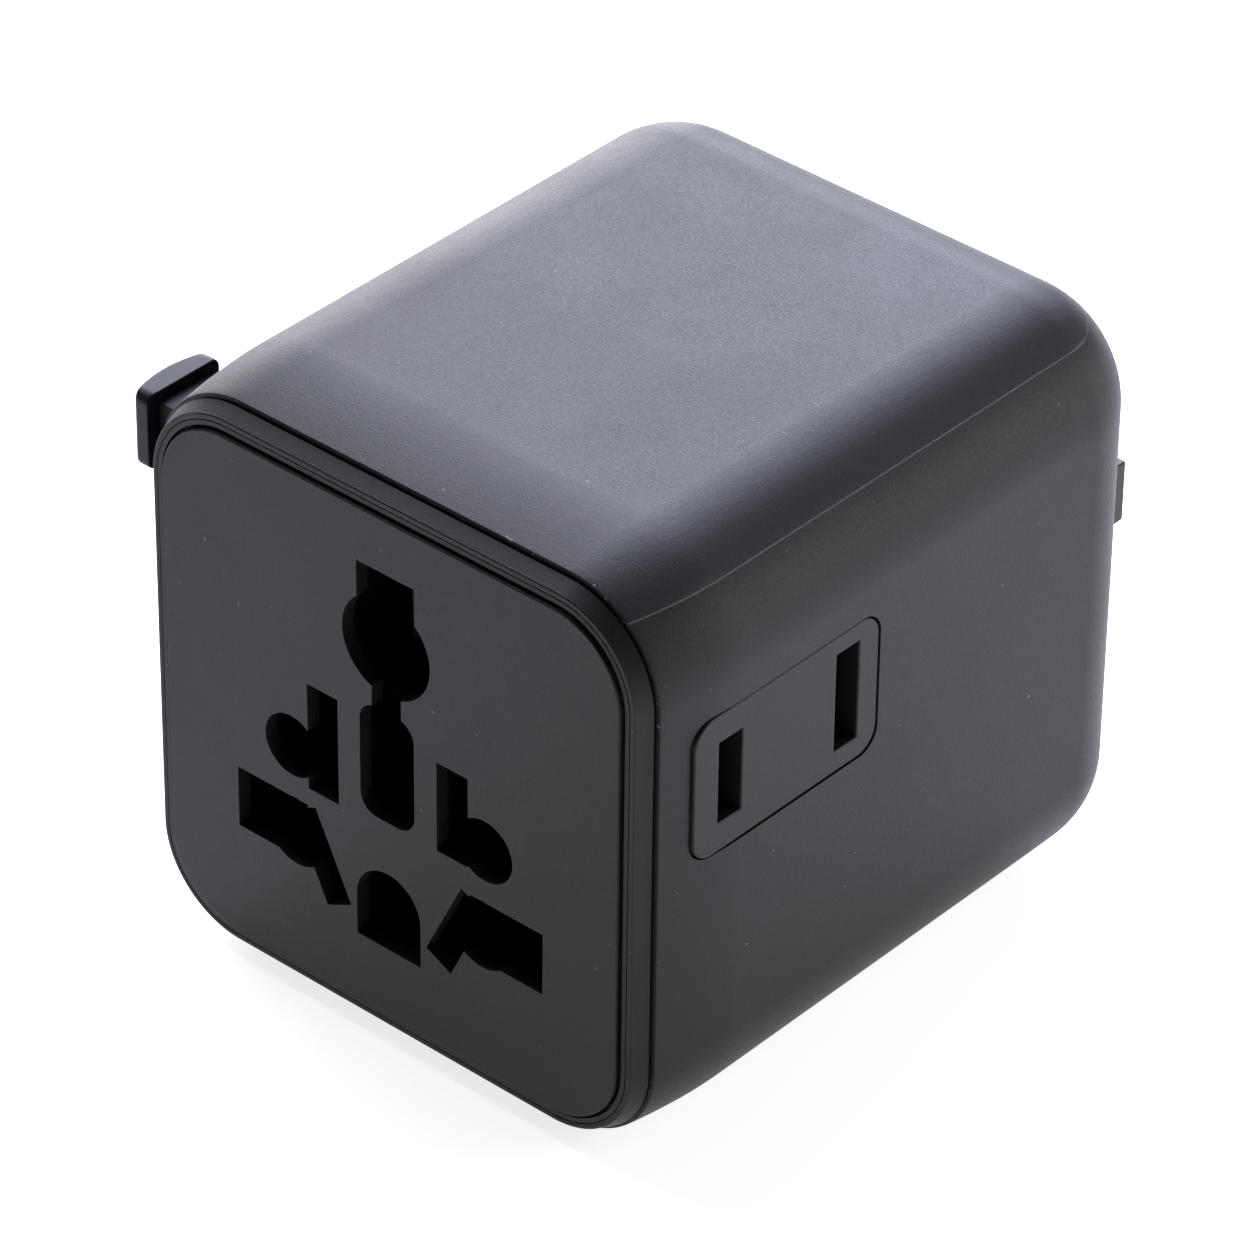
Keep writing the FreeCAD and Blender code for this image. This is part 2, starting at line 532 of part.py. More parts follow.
def build_side_contact(middle, end, name):
    """Two leaves on one back, opening to the right."""
    level = ("side_leaf_low", "side_leaf_top")
    shapes = [box(("side_back_in", "side_back_in + side_back_thick"),
                  (middle + " - side_leaf_out", middle + " + side_leaf_out"), level, "side_back")]
    for low, high in ((" - side_leaf_out", " - side_leaf_out + side_leaf_thick"),
                      (" + side_leaf_out - side_leaf_thick", " + side_leaf_out")):
        shapes.append(box(("side_back_in", end), (middle + low, middle + high), level, "side_leaf"))
    return label(fuse(shapes), name)


# ---------------------------------------------------------------- selector


def build_pusher():
    low = lane_level(2)
    plate = box(("-pusher_out", "-pusher_in"), ("lane_depth - pusher_long", "lane_depth + pusher_long"),
                (low + " - pusher_low", "pusher_top"), "pusher_plate")
    slot = box(("-pusher_out - past", "-pusher_in + past"),
               ("lane_depth - stem_long - slack / 2", "lane_depth + stem_long + slack / 2"),
               (low + " - stem_tall - nest_gap", lane_level(0) + " + stem_tall + nest_gap"), "pusher_slot")
    nest = box(("-pusher_out - past", "-nest_in"),
               ("lane_depth - spring_long - nest_gap", "lane_depth + spring_long + nest_gap"),
               (low + " - spring_low - nest_gap", low + " - spring_top + nest_gap"), "spring_nest")
    return label(cut(plate, [slot, nest]), "pusher")


def build_detent_spring():
    low = lane_level(2) + " - spring_low"
    leaf_spring = box(("-spring_out", "-spring_out + spring_thick"),
                      ("lane_depth - spring_long", "lane_depth + spring_long"),
                      (low, lane_level(2) + " - spring_top"), "spring_leaf")
    bead = doc.addObject("Part::Cylinder", "spring_bead")
    bind(bead, Radius="bead_radius", Height="spring_low - spring_top")
    place(bead, "-spring_out", "lane_depth", low)
    return label(fuse([leaf_spring, bead]), "detent_spring")


def build_knob():
    """The crowned cap outside the wall, and the stem that reaches in to the carriages' prongs."""
    cap_form = side_slab("cap_long", "cap_tall", "cap_corner", ("-cap_out", "-cap_out + cap_thick"),
                         "cap_form", "lane_depth", "lane_top")
    crown = doc.addObject("Part::Cylinder", "crown_form")
    bind(crown, Radius="crown_round", Height="2 * (cap_tall + past)")
    place(crown, "-cap_out + crown_round", "lane_depth", "lane_top - cap_tall - past")
    cap = common(cap_form, crown, "crowned_cap")
    shapes = []
    for title, near, far, long, tall in (
            ("neck", "-cap_out + cap_thick", "-body_half - neck_gap", "neck_long", "neck_tall"),
            ("shank", "-body_half - neck_gap", "-finger_start", "stem_long", "stem_tall"),
            ("tip", "-finger_start", "-finger_end", "finger", "finger")):
        shapes.append(box((near, far), ("lane_depth - " + long, "lane_depth + " + long),
                          ("lane_top - " + tall, "lane_top + " + tall), "knob_" + title))
    return [label(cap, "knob_cap"), label(fuse(shapes), "knob_stem")]


# ---------------------------------------------------------------- plugs


def lane_arm(lane, rear):
    """A thin strip beside the contact carrier with two prongs that the knob's finger fits between."""
    tall = (lane_level(lane) + " - arm_tall", lane_level(lane) + " + arm_tall")
    shapes = [box(("-arm_out", "-arm_in"), ("lane_depth - arm_front", rear), tall, "arm_strip")]
    for low, high in (("lane_depth - arm_front", "lane_depth - finger - prong_gap"),
                      ("lane_depth + finger + prong_gap", "lane_depth + arm_front")):
        shapes.append(box(("-prong_out", "-arm_out"), (low, high), tall, "arm_prong"))
    return shapes


def guide_hole(level, base):
    return rod("0", level, (base[0] + " - past", base[1] + " + past"), "rod_radius + rod_gap", "guide_hole")


def pin_box(side, half_x, half_z, depth, name):
    """A block about the axis of a rectangular pin; side 0 is the earth pin."""
    level = "uk_level" if side else "uk_earth"
    x = span(side, "uk_pitch - " + half_x, "uk_pitch + " + half_x) if side else ("-" + half_x, half_x)
    return box(x, depth, (level + " - " + half_z, level + " + " + half_z), name)


def build_uk_carriage():
    base = ("uk_base - uk_thick", "uk_base")
    upper = ("earth_base - upper_front", "earth_base - upper_back")
    low = "uk_level - uk_bar_tall"
    shapes = lane_arm(0, "earth_base - upper_back")
    shapes += [box(("-uk_bar_left", "uk_bar_right"), base, (low, "uk_level + uk_bar_tall"), "live_bar"),
               box(("uk_bar_left", "uk_bar_right"), (upper[0], base[1]), (low, "upper_top"), "side_spine"),
               box(("-earth_boss_wide", "earth_boss_wide"), (upper[0], "earth_base"),
                   ("uk_earth - earth_boss_tall", "uk_earth + earth_boss_tall"), "earth_boss"),
               box(("-arm_in", "uk_bar_right"), upper, ("upper_low", "upper_top"), "top_bar"),
               box(("-arm_out", "-foot_in"), upper, ("upper_low", "lane_top + arm_tall"), "arm_foot")]
    seat = ("uk_base - seat_deep", "uk_base + past")
    earth_seat = ("earth_base - seat_deep", "earth_base + past")
    tools = [guide_hole("uk_level", base), pin_box(0, "core_tall", "earth_core_tall", earth_seat, "seat")]
    tools += [pin_box(side, "core_wide", "core_tall", seat, "seat") for side in (-1, 1)]
    return label(cut(fuse(shapes), tools), "uk_carriage")


def build_uk_plug():
    sleeve_end = "uk_base + sleeve_long"
    pieces = [build_uk_carriage()]
    sleeves = []
    for side, name in ((-1, "uk_neutral_pin"), (1, "uk_line_pin")):
        core = pin_box(side, "core_wide", "core_tall", ("uk_base - seat_deep", sleeve_end), "pin_core")
        tip = pin_box(side, "uk_pin_wide", "uk_pin_tall", (sleeve_end, "tip_depth"), "pin_tip")
        pieces.append(label(fuse([core, tip]), name))
        skin = pin_box(side, "uk_pin_wide", "uk_pin_tall", ("uk_base", sleeve_end), "sleeve_skin")
        bore = pin_box(side, "core_wide", "core_tall", ("uk_base - past", sleeve_end + " + past"),
                       "sleeve_bore")
        sleeves.append(cut(skin, [bore], "sleeve"))
    root = pin_box(0, "core_tall", "earth_core_tall", ("earth_base - seat_deep", "earth_base"), "pin_root")
    blade = pin_box(0, "earth_pin_wide", "earth_pin_tall", ("earth_base", "tip_depth"), "pin_blade")
    pieces.append(label(fuse([root, blade]), "uk_earth_pin"))
    return pieces + [group(sleeves, "uk_pin_sleeves")]


def build_eu_plug():
    base = ("eu_base - eu_thick", "eu_base")
    shapes = lane_arm(1, "eu_base")
    shapes += [box(("-eu_bar_wide", "eu_bar_wide"), base,
                   ("eu_level - eu_bar_tall", "eu_level + eu_bar_tall"), "round_bar"),
               box(("-arm_in", "-eu_bar_wide"), base,
                   (lane_level(1) + " - arm_tall", lane_level(1) + " + arm_tall"), "arm_foot")]
    tools = [guide_hole("eu_level", base)]
    sleeve_end = "eu_base + eu_sleeve_long"
    pieces = []
    sleeves = []
    for side, name in ((-1, "eu_left_pin"), (1, "eu_right_pin")):
        x = "%d * eu_pitch" % side
        tools.append(rod(x, "eu_level", ("eu_base - eu_seat", "eu_base + past"), "eu_core", "pin_seat"))
        core = rod(x, "eu_level", ("eu_base - eu_seat", sleeve_end), "eu_core", "pin_core")
        tip = rod(x, "eu_level", (sleeve_end, "tip_depth"), "eu_tip", "pin_tip")
        pieces.append(label(fuse([core, tip]), name))
        skin = rod(x, "eu_level", ("eu_base", sleeve_end), "eu_sleeve", "sleeve_skin")
        bore = rod(x, "eu_level", ("eu_base - past", sleeve_end + " + past"), "eu_core", "sleeve_bore")
        sleeves.append(cut(skin, [bore], "sleeve"))
    return [label(cut(fuse(shapes), tools), "eu_carriage")] + pieces + [group(sleeves, "eu_pin_sleeves")]


def build_us_plug():
    base = ("us_base - us_thick", "us_base")
    low = "us_level - us_bar_tall"
    shapes = lane_arm(2, "us_base")
    shapes += [box(("-us_bar_wide", "us_bar_wide"), base, (low, "us_level + us_bar_tall"), "blade_bar"),
               box(("-arm_in", "-us_bar_wide"), base, (low, lane_level(2) + " + finger"), "arm_foot")]
    tools = [guide_hole("us_level", base)]
    blades = []
    disc_back = "us_base - disc_back"
    for side, name in ((-1, "us_left_blade"), (1, "us_right_blade")):
        x = "%d * us_pitch" % side
        tools.append(rod(x, "us_level", ("us_base - disc_seat", "us_base + past"), "root_disc + disc_gap",
                         "blade_socket"))
        disc = rod(x, "us_level", ("us_base - disc_front", disc_back), "root_disc", "blade_disc")
        blade = box((x + " - blade_wide", x + " + blade_wide"), (disc_back, "us_tip"),
                    ("us_level - blade_tall", "us_level + blade_tall"), "blade")
        blades.append(label(fuse([disc, blade]), name))
    return [label(cut(fuse(shapes), tools), "us_carriage")] + blades


# ---------------------------------------------------------------- fuse drawer


def build_fuse_drawer():
    """The tray follows the casing's rounded rear, so that only its grip stands out."""
    outer = shell_block("drawer_form", "body_half", "body_corner", ("shell_front", "body_long"), "rear_round")
    tray = box(("drawer_in", "drawer_out"), ("drawer_front", "body_long + past"),
               ("drawer_low", "drawer_top"),
               "tray_block")
    start = "drawer_front + pocket_front"
    pocket = box(("drawer_in + tray_wall", "drawer_out - tray_wall"), (start, start + " + pocket_long"),
                 ("drawer_low + tray_floor", "drawer_top + past"), "fuse_pocket")
    tab = box(("tab_in", "tab_out"), ("body_long - tab_root", "tab_back"), ("tab_low", "tab_top"), "grip_tab")
    return label(fuse([cut(common(tray, outer), [pocket], "tray"), tab]), "fuse_drawer")


def build_fuse():
    middle = "(drawer_in + drawer_out) / 2"
    level = "(drawer_low + drawer_top) / 2"
    start = "drawer_front + pocket_front + fuse_step"
    near, far = start + " + fuse_cap_long", start + " + fuse_long - fuse_cap_long"
    shapes = [rod(middle, level, (near, far), "fuse_bore - fuse_step", "fuse_tube"),
              rod(middle, level, (start, near), "fuse_bore", "fuse_cap"),
              rod(middle, level, (far, start + " + fuse_long"), "fuse_bore", "fuse_cap")]
    return label(fuse(shapes), "fuse")


def build_fuse_clip():
    """A stop in front of the fuse, and a spring that reaches back over it."""
    across = ("drawer_in + clip_side", "drawer_out - clip_side")
    stop = ("drawer_front - clip_front", "drawer_front - clip_back")
    top = "drawer_top + clip_lift + leaf"
    shapes = [box(across, stop, ("drawer_low + clip_side", top), "fuse_stop"),
              box(across, (stop[1], "drawer_front + clip_reach"), ("drawer_top + clip_lift", top),
                  "fuse_spring")]
    return label(fuse(shapes), "fuse_clip")


# ---------------------------------------------------------------- assembly

nodes = build_shells()
nodes += [build_front_frame(), build_rear_cover(), build_socket_plate(), build_contact_carrier()]
nodes += [build_chassis(), build_guide_rods(), build_chassis_screws()]
nodes += [build_pin_contact(-1, "neutral_contact", "neutral_leaf_top")]
nodes += [build_pin_contact(1, "line_contact", "line_leaf_top")]
nodes += [build_earth_contact()] + build_buses() + build_side_outlet()
nodes += [build_pusher(), build_detent_spring()] + build_knob()
nodes += build_uk_plug() + build_eu_plug() + build_us_plug()
nodes += [build_fuse_drawer(), build_fuse(), build_fuse_clip()]

doc.recompute()

for thing in doc.Objects:
    if "Invalid" in thing.State or "Error" in thing.State:
        raise RuntimeError("%s (%s) failed: %s" % (thing.Name, thing.Label, thing.State))
for node in nodes:
    if node.Shape.isNull() or not node.Shape.isValid():
        raise RuntimeError("%s has no valid shape" % node.Label)
    if not node.Shape.Solids:
        raise RuntimeError("%s has no solid" % node.Label)

os.makedirs("parts", exist_ok=True)
for node in nodes:
    node.Shape.exportStep(os.path.join("parts", node.Label + ".step"))
    box_size = node.Shape.BoundBox
    print("%-22s solids %d volume %9.2f  size %6.2f %6.2f %6.2f" % (
        node.Label, len(node.Shape.Solids), node.Shape.Volume,
        box_size.XLength, box_size.YLength, box_size.ZLength))
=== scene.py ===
import json
import math

import bmesh
import bpy
from mathutils import Matrix, Vector


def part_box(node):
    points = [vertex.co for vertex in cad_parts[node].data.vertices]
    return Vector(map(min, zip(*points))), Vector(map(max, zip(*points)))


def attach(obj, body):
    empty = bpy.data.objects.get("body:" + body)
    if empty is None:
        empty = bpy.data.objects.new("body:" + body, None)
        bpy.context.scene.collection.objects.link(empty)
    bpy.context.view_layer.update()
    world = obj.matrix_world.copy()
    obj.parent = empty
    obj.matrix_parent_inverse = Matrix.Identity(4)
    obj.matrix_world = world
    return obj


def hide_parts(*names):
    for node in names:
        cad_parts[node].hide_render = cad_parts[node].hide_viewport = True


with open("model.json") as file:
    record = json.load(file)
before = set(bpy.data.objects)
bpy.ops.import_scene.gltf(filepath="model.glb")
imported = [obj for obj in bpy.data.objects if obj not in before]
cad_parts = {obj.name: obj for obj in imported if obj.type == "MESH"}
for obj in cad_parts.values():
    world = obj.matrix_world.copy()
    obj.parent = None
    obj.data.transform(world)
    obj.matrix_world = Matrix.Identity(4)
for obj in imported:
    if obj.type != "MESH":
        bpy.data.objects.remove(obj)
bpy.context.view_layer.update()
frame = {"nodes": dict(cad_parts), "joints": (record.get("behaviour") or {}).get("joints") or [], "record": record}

MM = 0.001
NODES = frame["nodes"]
PAST = 1 * MM  # how far a cutter stands out of what it cuts

# ---------------------------------------------------------------- driving sizes, read from the frame

BODY_LOW, BODY_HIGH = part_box("main_shell")
FACE_LOW, FACE_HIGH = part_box("socket_plate")
FRAME_LOW, FRAME_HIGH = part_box("front_frame")
COVER_LOW, COVER_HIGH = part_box("rear_cover")
CAP_LOW, CAP_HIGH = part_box("knob_cap")
FACE_Y = FACE_LOW.y
REAR_Y = BODY_HIGH.y
MIDDLE_Z = (FACE_LOW.z + FACE_HIGH.z) / 2
BODY_MIDDLE = Vector((0, 0, 0.03))
BODY_HALF = BODY_HIGH.x
PARTING_Z = BODY_HIGH.z

BODY_CORNER = 9.3 * MM
REAR_ROUND = 8.0 * MM
WALL = 1.7 * MM
INSERT_Y = (FACE_Y + 4.87 * MM, FACE_Y + 24.87 * MM)
INSERT_Z = (MIDDLE_Z + 1.5 * MM, MIDDLE_Z + 13.4 * MM)
INSERT_CORNER = 2.0 * MM
LANE_STEP = 11.1 * MM
LANE_HALF_Y, LANE_HALF_Z = 1.8 * MM, 1.7 * MM
PALE_LINE_END = FACE_Y + 51.3 * MM
# Depths behind the socket face over which the carrier darkens to its painted shade.
PAINTED_SHADE_RANGE = (FACE_Y + 0.6 * MM, FACE_Y + 1.6 * MM)
DUST = (0.16, 0.16, 0.17)
PALE_LINE = (0.075, 0.073, 0.082)
# The shells swell from their front edge to their full section over this depth.
SWELL = 0.75 * MM
SWELL_LONG = 8.0 * MM
SWELL_EASE = 1.7
COVER_GAP = 0.1 * MM
COVER_CORNER = 3.1 * MM
CORNER_STEPS = 28


# ---------------------------------------------------------------- mesh helpers


def rounded_square(half, corner, y):
    """Points of a round-cornered square about the body's axis, in the plane Y = y."""
    points = []
    for quarter, (sx, sz) in enumerate(((1, 1), (-1, 1), (-1, -1), (1, -1))):
        for step in range(CORNER_STEPS + 1):
            angle = math.radians(90 * (quarter + step / CORNER_STEPS))
            points.append(Vector((sx * (half - corner) + corner * math.cos(angle), y,
                                  MIDDLE_Z + sz * (half - corner) + corner * math.sin(angle))))
    return points


def new_piece(name, bm, smooth=True):
    """A new object from a bmesh, with its normals facing out."""
    bmesh.ops.recalc_face_normals(bm, faces=bm.faces)
    mesh = bpy.data.meshes.new(name)
    bm.to_mesh(mesh)
    bm.free()
    if smooth:
        mesh.polygons.foreach_set("use_smooth", [True] * len(mesh.polygons))
    piece = bpy.data.objects.new(name, mesh)
    bpy.context.scene.collection.objects.link(piece)
    return piece


def loft(name, rings, closed=False):
    """Quads between rings of equal length; the two ends are capped unless the rings close on themselves."""
    bm = bmesh.new()
    rows = [[bm.verts.new(point) for point in ring] for ring in rings]
    count = len(rows[0])
    last = len(rows) if closed else len(rows) - 1
    for index in range(last):
        near, far = rows[index], rows[(index + 1) % len(rows)]
        for step in range(count):
            following = (step + 1) % count
            bm.faces.new((near[step], near[following], far[following], far[step]))
    if not closed:
        bm.faces.new(rows[0])
        bm.faces.new(rows[-1])
    return new_piece(name, bm)


def applied(piece):
    """Turn the piece's modifiers into its mesh."""
    bpy.context.view_layer.update()
    graph = bpy.context.evaluated_depsgraph_get()
    mesh = bpy.data.meshes.new_from_object(piece.evaluated_get(graph))
    piece.modifiers.clear()
    piece.data = mesh
    return piece


def softened(piece, width, segments, angle=32):
    """Round every sharp edge a little and even out the shading."""
    bevel = piece.modifiers.new("edge", "BEVEL")
    bevel.width = width
    bevel.segments = segments
    bevel.limit_method = "ANGLE"
    bevel.angle_limit = math.radians(angle)
    bevel.harden_normals = False
    normals = piece.modifiers.new("normals", "WEIGHTED_NORMAL")
    normals.keep_sharp = True
    normals.weight = 50
    return applied(piece)


def cut_with(piece, cutters, operation="DIFFERENCE"):
    for cutter in cutters:
        boolean = piece.modifiers.new("cut", "BOOLEAN")
        boolean.operation = operation
        boolean.solver = "EXACT"
        boolean.object = cutter
    applied(piece)
    for cutter in cutters:
        bpy.data.objects.remove(cutter)
    return piece


def block(name, low, high):
    bm = bmesh.new()
    corners = [bm.verts.new((x, y, z)) for x in (low[0], high[0]) for y in (low[1], high[1])
               for z in (low[2], high[2])]
    for face in ((0, 1, 3, 2), (4, 6, 7, 5), (0, 4, 5, 1), (2, 3, 7, 6), (0, 2, 6, 4), (1, 5, 7, 3)):
        bm.faces.new([corners[index] for index in face])
    return new_piece(name, bm, smooth=False)


def side_prism(name, low, high, corner, x):
    """A round-cornered block that runs along X."""
    bm = bmesh.new()
    rows = []
    for end in x:
        row = []
        for quarter, (y, z) in enumerate(((high[0], high[1]), (low[0], high[1]), (low[0], low[1]),
                                          (high[0], low[1]))):
            for step in range(CORNER_STEPS // 2 + 1):
                angle = math.radians(90 * (quarter + 2 * step / CORNER_STEPS))
                side = math.copysign(1, math.cos(math.radians(90 * quarter + 45)))
                rise = math.copysign(1, math.sin(math.radians(90 * quarter + 45)))
                row.append(bm.verts.new((end, y - side * corner + corner * math.cos(angle),
                                         z - rise * corner + corner * math.sin(angle))))
        rows.append(row)
    count = len(rows[0])
    for step in range(count):
        following = (step + 1) % count
        bm.faces.new((rows[0][step], rows[0][following], rows[1][following], rows[1][step]))
    bm.faces.new(rows[0])
    bm.faces.new(rows[1])
    return new_piece(name, bm, smooth=False)


def finished(node, width, segments):
    """A clean copy of a CAD node with its sharp edges rounded; it takes the node's place."""
    weld, flatness = 0.002 * MM, math.radians(0.6)
    source = NODES[node].data
    bm = bmesh.new()
    corners = [bm.verts.new(vertex.co) for vertex in source.vertices]
    for polygon in source.polygons:
        bm.faces.new([corners[index] for index in polygon.vertices])
    bmesh.ops.remove_doubles(bm, verts=bm.verts, dist=weld)
    bmesh.ops.dissolve_limit(bm, angle_limit=flatness, verts=bm.verts, edges=bm.edges)
    return stand_in(softened(new_piece(node + "_moulding", bm), width, segments), node)


def body_of(node):
    for body, members in frame["record"]["behaviour"]["bodies"].items():
        if node in members:
            return body
    raise KeyError(node)


def slot_of(node):
    for row in frame["record"]["subparts"]:
        if row["node"] == node:
            return row["material_slot"]
    raise KeyError(node)


def stand_in(piece, node):
    """The piece rides with the node's body and is shown in its place."""
    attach(piece, body_of(node))
    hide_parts(node)
    return piece


# ---------------------------------------------------------------- materials


class Nodes:
    """Short calls for building one material's node tree."""

    def __init__(self, name):
        self.material = bpy.data.materials.new(name)
        self.material.use_nodes = True
        self.tree = self.material.node_tree
        self.shader = next(node for node in self.tree.nodes if node.type == "BSDF_PRINCIPLED")

    def add(self, kind, **values):
        node = self.tree.nodes.new(kind)
        for name, value in values.items():
            if name in node.inputs.keys():
                node.inputs[name].default_value = value
            else:
                setattr(node, name, value)
        return node

    def link(self, output, target):
        self.tree.links.new(output, target)

    def coordinates(self, stretch=(1, 1, 1)):
        place = self.add("ShaderNodeTexCoord")
        mapping = self.add("ShaderNodeMapping")
        mapping.inputs["Scale"].default_value = stretch
        self.link(place.outputs["Object"], mapping.inputs["Vector"])
        return mapping.outputs["Vector"]

    def noise(self, vector, size, detail=2.0, roughness=0.5):
        """Noise whose features are about `size` metres across."""
        node = self.add("ShaderNodeTexNoise", Scale=1 / size, Detail=detail, Roughness=roughness)
        self.link(vector, node.inputs["Vector"])
        return node.outputs["Fac"]

    def remap(self, value, low, high, to_low=0.0, to_high=1.0):
        node = self.add("ShaderNodeMapRange")
        node.inputs["From Min"].default_value = low
        node.inputs["From Max"].default_value = high
        node.inputs["To Min"].default_value = to_low
        node.inputs["To Max"].default_value = to_high
        self.link(value, node.inputs["Value"])
        return node.outputs["Result"]

    def math(self, operation, first, second=0.0):
        node = self.add("ShaderNodeMath", operation=operation)
        for socket, value in zip(node.inputs, (first, second)):
            if isinstance(value, (int, float)):
                socket.default_value = value
            else:
                self.link(value, socket)
        return node.outputs["Value"]

    def mix(self, share, first, second):
        node = self.add("ShaderNodeMix", data_type="RGBA")
        self.link(share, node.inputs["Factor"])
        for socket, value in ((node.inputs[6], first), (node.inputs[7], second)):
            if isinstance(value, tuple):
                socket.default_value = (*value, 1)
            else:
                self.link(value, socket)
        return node.outputs[2]

    def bump(self, height, strength, distance):
        node = self.add("ShaderNodeBump", Strength=strength, Distance=distance)
        self.link(height, node.inputs["Height"])
        self.link(node.outputs["Normal"], self.shader.inputs["Normal"])


def moulded_plastic(name, colour, roughness, grain, dust=0.0, ior=1.31, painted_shade=None, parted=False):
    """Matt moulded plastic: spark-eroded grain, uneven sheen, and a little dust.

    `painted_shade` is painted shade: a darker colour the plastic takes far behind the socket face, standing in for
    the shade in the deep wells where little light reaches. Its specular is turned down there too.
    `parted` adds the fine pale line where the two shells meet, and dust along their front seam.
    """
    nodes = Nodes(name)
    place = nodes.coordinates()
    cloud = nodes.noise(place, 9 * MM, 3)
    dark = tuple(value * 0.88 for value in colour)
    light = tuple(value * 1.12 for value in colour)
    tone = nodes.mix(nodes.remap(cloud, 0.3, 0.7), dark, light)
    fine = nodes.noise(place, 0.16 * MM, 2)
    coarse = nodes.noise(place, 0.35 * MM, 2)
    pepper = nodes.remap(fine, 0.30, 0.70, 0.80, 1.20)
    scaled = nodes.add("ShaderNodeVectorMath", operation="SCALE")
    nodes.link(tone, scaled.inputs[0])
    nodes.link(pepper, scaled.inputs["Scale"])
    tone = scaled.outputs["Vector"]
    split = nodes.add("ShaderNodeSeparateXYZ")
    nodes.link(place, split.inputs["Vector"])
    if dust:
        field = nodes.noise(place, 0.55 * MM, 1)
        if parted:
            to_seam = nodes.math("ABSOLUTE", nodes.math("SUBTRACT", split.outputs["Y"], BODY_LOW.y))
            field = nodes.math("ADD", field, nodes.remap(to_seam, 0.15 * MM, 0.4 * MM, 0.07, 0.0))
        tone = nodes.mix(nodes.remap(field, 0.80, 0.83, 0, dust), tone, DUST)
    if parted:
        fade = 0.5 * MM
        off = nodes.math("ABSOLUTE", nodes.math("SUBTRACT", split.outputs["Z"], PARTING_Z))
        behind = nodes.remap(split.outputs["Y"], BODY_LOW.y - 0.1 * MM, BODY_LOW.y)
        before = nodes.remap(split.outputs["Y"], PALE_LINE_END - fade, PALE_LINE_END + fade, 1.0, 0.0)
        line = nodes.math("MULTIPLY", nodes.remap(off, 0.03 * MM, 0.055 * MM, 1.0, 0.0),
                          nodes.math("MULTIPLY", behind, before))
        tone = nodes.mix(line, tone, PALE_LINE)
    sheen = nodes.math("ADD", nodes.remap(fine, 0.3, 0.7, roughness - 0.06, roughness + 0.06),
                       nodes.remap(cloud, 0.3, 0.7, -0.02, 0.02))
    # Painted shade: deeper behind the socket face, the tone darkens and the specular fades, standing in for the
    # shade in the wells.
    if painted_shade:
        depth = nodes.remap(split.outputs["Y"], *PAINTED_SHADE_RANGE)
        tone = nodes.mix(depth, tone, painted_shade)
        gloss = nodes.remap(depth, 0, 1, 0.5, 0.06)
        nodes.link(gloss, nodes.shader.inputs["Specular IOR Level"])
    nodes.link(tone, nodes.shader.inputs["Base Color"])
    nodes.link(sheen, nodes.shader.inputs["Roughness"])
    height = nodes.math("ADD", nodes.math("MULTIPLY", fine, 0.75), nodes.math("MULTIPLY", coarse, 0.25))
    nodes.bump(height, grain, 0.03 * MM)
    nodes.shader.inputs["IOR"].default_value = ior
    return nodes.material


def metal(name, colour, roughness, tarnish):
    """Drawn or stamped metal: fine streaks from front to rear and a faint tarnish."""
    nodes = Nodes(name)
    streaks = nodes.noise(nodes.coordinates((1.0, 0.06, 1.0)), 0.12 * MM, 2)
    stain = nodes.noise(nodes.coordinates(), 2.5 * MM, 3)
    tone = nodes.mix(nodes.remap(stain, 0.45, 0.75, 0, 0.6), colour, tarnish)
    nodes.link(tone, nodes.shader.inputs["Base Color"])
    sheen = nodes.remap(streaks, 0.3, 0.7, roughness - 0.03, roughness + 0.04)
    nodes.link(sheen, nodes.shader.inputs["Roughness"])
    nodes.shader.inputs["Metallic"].default_value = 1.0
    nodes.bump(streaks, 0.04, 0.01 * MM)
    return nodes.material


def fuse_body():
    """A ceramic tube whose two ends are plated caps."""
    nodes = Nodes("fuse_ceramic")
    low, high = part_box("fuse")
    middle = (low.y + high.y) / 2
    cap = 5 * MM
    place = nodes.add("ShaderNodeTexCoord")
    split = nodes.add("ShaderNodeSeparateXYZ")
    nodes.link(place.outputs["Object"], split.inputs["Vector"])
    away = nodes.math("ABSOLUTE", nodes.math("SUBTRACT", split.outputs["Y"], middle))
    is_cap = nodes.math("GREATER_THAN", away, (high.y - low.y) / 2 - cap)
    mottle = nodes.noise(place.outputs["Object"], 0.8 * MM, 3)
    ceramic = nodes.mix(mottle, (0.72, 0.69, 0.62), (0.86, 0.84, 0.78))
    nodes.link(nodes.mix(is_cap, ceramic, (0.70, 0.70, 0.72)), nodes.shader.inputs["Base Color"])
    nodes.link(is_cap, nodes.shader.inputs["Metallic"])
    nodes.link(nodes.remap(mottle, 0.3, 0.7, 0.3, 0.45), nodes.shader.inputs["Roughness"])
    nodes.bump(mottle, 0.1, 0.02 * MM)
    return nodes.material


